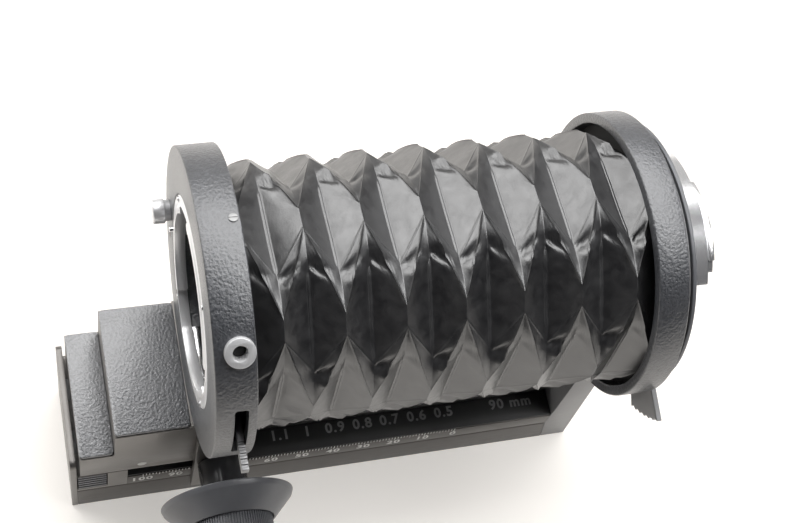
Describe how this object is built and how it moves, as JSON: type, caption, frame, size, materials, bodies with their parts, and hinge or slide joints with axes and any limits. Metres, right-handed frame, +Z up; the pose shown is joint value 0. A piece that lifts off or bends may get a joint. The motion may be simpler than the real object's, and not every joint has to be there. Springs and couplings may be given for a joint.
{
  "type": "macro bellows unit",
  "caption": "Bellows extension for close-up photography: a rail with a fixed camera standard, a rack-driven lens standard, and folded bellows.",
  "frame": {"origin": "mouth of the tripod socket, in the underside of the base", "axes": "+X along the optical axis towards the camera end, +Y away from the drive knob, +Z up"},
  "size_m": [0.1745, 0.0942, 0.1425],
  "materials": {
    "anodised": "satin dark anodised",
    "matte_black": "matte black",
    "guide_metal": "satin",
    "steel": "satin",
    "grey_paint": "satin grey",
    "gloss_black": "satin black",
    "chrome": "polished",
    "crinkle_black": "crinkle finish",
    "leatherette": "fine grained, semi gloss",
    "inner_black": "matte",
    "white_mark": "matte",
    "red_mark": "gloss"
  },
  "bodies": {
    "rail": {"rail_base": "anodised", "rail_body": "anodised", "top_plate": "matte_black", "guide_bar_front": "guide_metal", "guide_bar_rear": "guide_metal", "rack": "steel", "end_block": "anodised", "end_plate": "grey_paint", "end_plate_screws": "chrome", "camera_post": "grey_paint", "post_screws": "chrome", "camera_ring": "crinkle_black", "bellows": "leatherette", "bellows_rear_frame": "inner_black", "tripod_bush": "chrome"},
    "end_catch": {"end_catch": "gloss_black"},
    "lens_carriage": {"carriage_body": "anodised", "carriage_cover": "crinkle_black", "step_cover": "crinkle_black", "slide_gib_front": "guide_metal", "slide_gib_rear": "guide_metal", "gear_apron": "anodised", "shaft_collar": "gloss_black", "lens_pedestal": "crinkle_black", "lens_ring": "crinkle_black", "lens_bayonet": "chrome", "bayonet_springs": "steel", "bayonet_screws": "chrome", "cable_socket": "chrome", "rim_screws": "chrome", "index_dot": "white_mark", "mount_index": "red_mark", "bellows_front_frame": "inner_black"},
    "lens_release": {"release_button": "chrome", "lock_pin": "steel", "lock_link": "steel"},
    "stop_down": {"stop_down_ring": "inner_black", "stop_down_lever": "gloss_black"},
    "drive_knob": {"drive_knob": "gloss_black", "drive_shaft": "steel", "pinion": "steel"},
    "clamp_knob": {"clamp_knob": "gloss_black", "clamp_rod": "steel", "clamp_screw": "chrome"},
    "camera_mount": {"rotating_flange": "gloss_black", "mount_retainer": "inner_black", "camera_mount": "chrome", "male_bayonet": "chrome", "mount_screws": "chrome"},
    "rotation_lock": {"lock_ring": "steel"}
  },
  "joints": [
    {"name": "focus_slide", "type": "slide", "parent": "rail", "child": "lens_carriage", "axis": [1, 0, 0], "range_m": [0, 0.1], "deforming": ["bellows"]},
    {"name": "knob_turn", "type": "hinge", "parent": "lens_carriage", "child": "drive_knob", "pos_m": [-0.0395, 0, 0.032], "axis": [0, 1, 0], "range_deg": [0, 955]},
    {"name": "clamp_turn", "type": "hinge", "parent": "drive_knob", "child": "clamp_knob", "pos_m": [-0.0395, -0.045, 0.032], "axis": [0, -1, 0], "range_deg": [0, 75]},
    {"name": "lens_release_press", "type": "slide", "parent": "lens_carriage", "child": "lens_release", "axis": [1, 0, 0], "range_m": [0, 0.0012], "stiffness_N_per_m": 400},
    {"name": "stop_down_turn", "type": "hinge", "parent": "lens_carriage", "child": "stop_down", "pos_m": [-0.0425, 0, 0.101], "axis": [-1, 0, 0], "range_deg": [0, 18], "stiffness_Nm_per_rad": 0.08},
    {"name": "mount_rotate", "type": "hinge", "parent": "rail", "child": "camera_mount", "pos_m": [0.078, 0, 0.101], "axis": [1, 0, 0], "range_deg": [0, 90]},
    {"name": "rotation_lock_press", "type": "hinge", "parent": "rail", "child": "rotation_lock", "pos_m": [0.076, 0, 0.101], "axis": [1, 0, 0], "range_deg": [0, 8], "stiffness_Nm_per_rad": 0.3},
    {"name": "end_catch_press", "type": "slide", "parent": "rail", "child": "end_catch", "axis": [0, 1, 0], "range_m": [0, 0.0015], "stiffness_N_per_m": 400}
  ],
  "couplings": [
    {"joint": "knob_turn", "follows": "focus_slide", "rad_per_m": 166.67}
  ]
}
